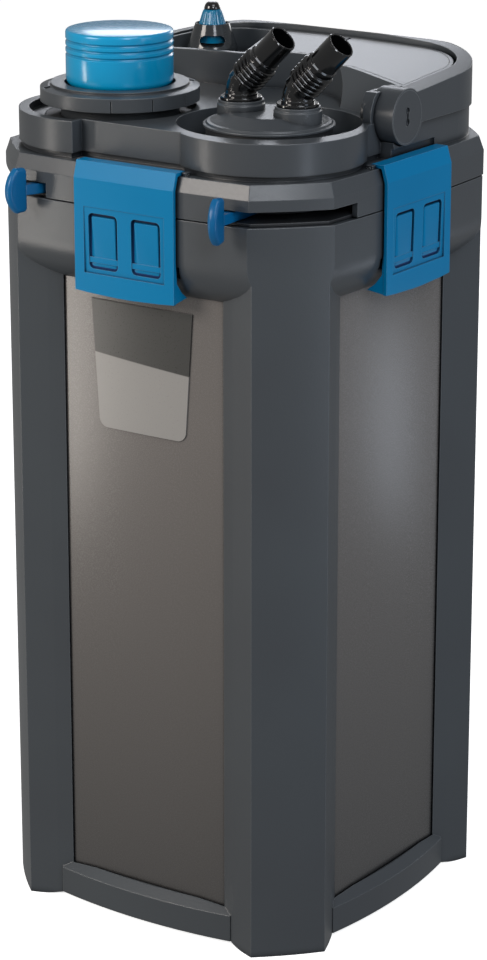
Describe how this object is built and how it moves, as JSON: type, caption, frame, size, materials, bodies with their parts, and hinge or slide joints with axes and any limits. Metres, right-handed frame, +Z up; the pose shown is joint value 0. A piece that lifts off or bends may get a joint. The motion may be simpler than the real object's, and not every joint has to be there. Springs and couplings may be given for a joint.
{
  "type": "canister filter",
  "caption": "Square upright canister filter for an aquarium, with clipped head, priming plunger, hose elbows, heater dial and carrying handle.",
  "frame": {"origin": "middle of the underside, in the plane of the four feet", "axes": "+Z up, -Y out of the front face with the bare badge plate, +X to the right when the front is seen"},
  "size_m": [0.2514, 0.2687, 0.5624],
  "materials": {
    "body_plastic": "satin",
    "panel_plastic": "satin",
    "dark_plastic": "matte",
    "cover_plastic": "satin",
    "clip_plastic": "satin",
    "plunger_plastic": "satin",
    "lever_plastic": "satin",
    "elbow_plastic": "gloss",
    "dial_plastic": "gloss",
    "white_plastic": "satin",
    "seal_rubber": "matte",
    "steel": "satin",
    "heater_metal": "satin",
    "coil_copper": "satin",
    "magnet": "matte",
    "foam_blue": "matte",
    "foam_yellow": "matte",
    "plate_grey": "satin"
  },
  "bodies": {
    "canister": {"outer_frame": "body_plastic", "foot_pads": "seal_rubber", "container": "panel_plastic", "container_seal": "seal_rubber", "badge_plate": "plate_grey", "head_housing": "body_plastic", "head_base": "dark_plastic", "base_screws": "steel", "cover_left": "cover_plastic", "cover_right": "cover_plastic", "clip_pins": "steel", "handle_pins": "steel", "prefilter_cap": "body_plastic", "priming_spring": "steel", "prefilter_head": "dark_plastic", "prefilter_pipe": "dark_plastic", "prefilter_foams": "foam_blue", "prefilter_cage": "dark_plastic", "hose_block": "dark_plastic", "hose_seals": "seal_rubber", "hose_dome": "body_plastic", "port_collars": "body_plastic", "heater_housing": "body_plastic", "heater_cap": "elbow_plastic", "heater_rod": "heater_metal", "heater_seal": "seal_rubber", "cable_glands": "seal_rubber", "motor_housing": "dark_plastic", "stator_coil": "coil_copper", "rotor_shaft": "magnet", "shaft_bushes": "seal_rubber", "volute": "dark_plastic", "media_tray_1": "dark_plastic", "media_tray_2": "dark_plastic", "media_tray_3": "dark_plastic", "media_tray_4": "dark_plastic", "filter_foam_1": "foam_blue", "filter_foam_2": "foam_yellow", "filter_foam_3": "foam_blue", "filter_foam_4": "foam_yellow"},
    "clip_front": {"clip_front": "clip_plastic"},
    "clip_right": {"clip_right": "clip_plastic"},
    "clip_back": {"clip_back": "clip_plastic"},
    "clip_left": {"clip_left": "clip_plastic"},
    "handle": {"handle": "body_plastic", "handle_caps": "body_plastic"},
    "plunger": {"priming_plunger": "plunger_plastic", "plunger_seal": "seal_rubber"},
    "elbow_left": {"elbow_left": "elbow_plastic"},
    "elbow_right": {"elbow_right": "elbow_plastic"},
    "heater_dial": {"heater_dial": "dial_plastic"},
    "hose_lever": {"hose_ring": "dark_plastic", "hose_lever": "lever_plastic"},
    "prefilter_lever": {"prefilter_ring": "dark_plastic", "prefilter_lever": "lever_plastic"},
    "impeller": {"rotor_magnet": "magnet", "impeller": "white_plastic"}
  },
  "joints": [
    {"name": "clip_front_hinge", "type": "hinge", "parent": "canister", "child": "clip_front", "pos_m": [0, -0.1148, 0.4818], "axis": [-1, 0, 0], "range_deg": [0, 70]},
    {"name": "clip_right_hinge", "type": "hinge", "parent": "canister", "child": "clip_right", "pos_m": [0.1148, 0, 0.4818], "axis": [0, -1, 0], "range_deg": [0, 55]},
    {"name": "clip_back_hinge", "type": "hinge", "parent": "canister", "child": "clip_back", "pos_m": [0, 0.1148, 0.4818], "axis": [1, 0, 0], "range_deg": [0, 70]},
    {"name": "clip_left_hinge", "type": "hinge", "parent": "canister", "child": "clip_left", "pos_m": [-0.1148, 0, 0.4818], "axis": [0, 1, 0], "range_deg": [0, 55]},
    {"name": "handle_hinge", "type": "hinge", "parent": "canister", "child": "handle", "pos_m": [0, 0, 0.5065], "axis": [1, 0, 0], "range_deg": [0, 90]},
    {"name": "plunger_slide", "type": "slide", "parent": "canister", "child": "plunger", "axis": [0, 0, -1], "range_m": [0, 0.024], "stiffness_N_per_m": 400, "deforming": ["priming_spring"]},
    {"name": "elbow_left_swivel", "type": "hinge", "parent": "canister", "child": "elbow_left", "pos_m": [0.0362, -0.0568, 0.5178], "axis": [0, 0, 1], "range_deg": [-170, 80]},
    {"name": "elbow_right_swivel", "type": "hinge", "parent": "canister", "child": "elbow_right", "pos_m": [0.0762, -0.0568, 0.5178], "axis": [0, 0, 1], "range_deg": [-80, 80]},
    {"name": "heater_dial_turn", "type": "hinge", "parent": "canister", "child": "heater_dial", "pos_m": [-0.074, 0.071, 0.5241], "axis": [0, 0, 1], "range_deg": [0, 280]},
    {"name": "hose_lever_turn", "type": "hinge", "parent": "canister", "child": "hose_lever", "pos_m": [0.0562, -0.0568, 0.4625], "axis": [0, 0, 1], "range_deg": [0, 60]},
    {"name": "prefilter_lever_turn", "type": "hinge", "parent": "canister", "child": "prefilter_lever", "pos_m": [-0.0534, -0.0557, 0.4625], "axis": [0, 0, -1], "range_deg": [0, 60]},
    {"name": "impeller_spin", "type": "hinge", "parent": "canister", "child": "impeller", "pos_m": [0.058, 0.066, 0.4715], "axis": [0, 0, 1], "continuous": true}
  ]
}
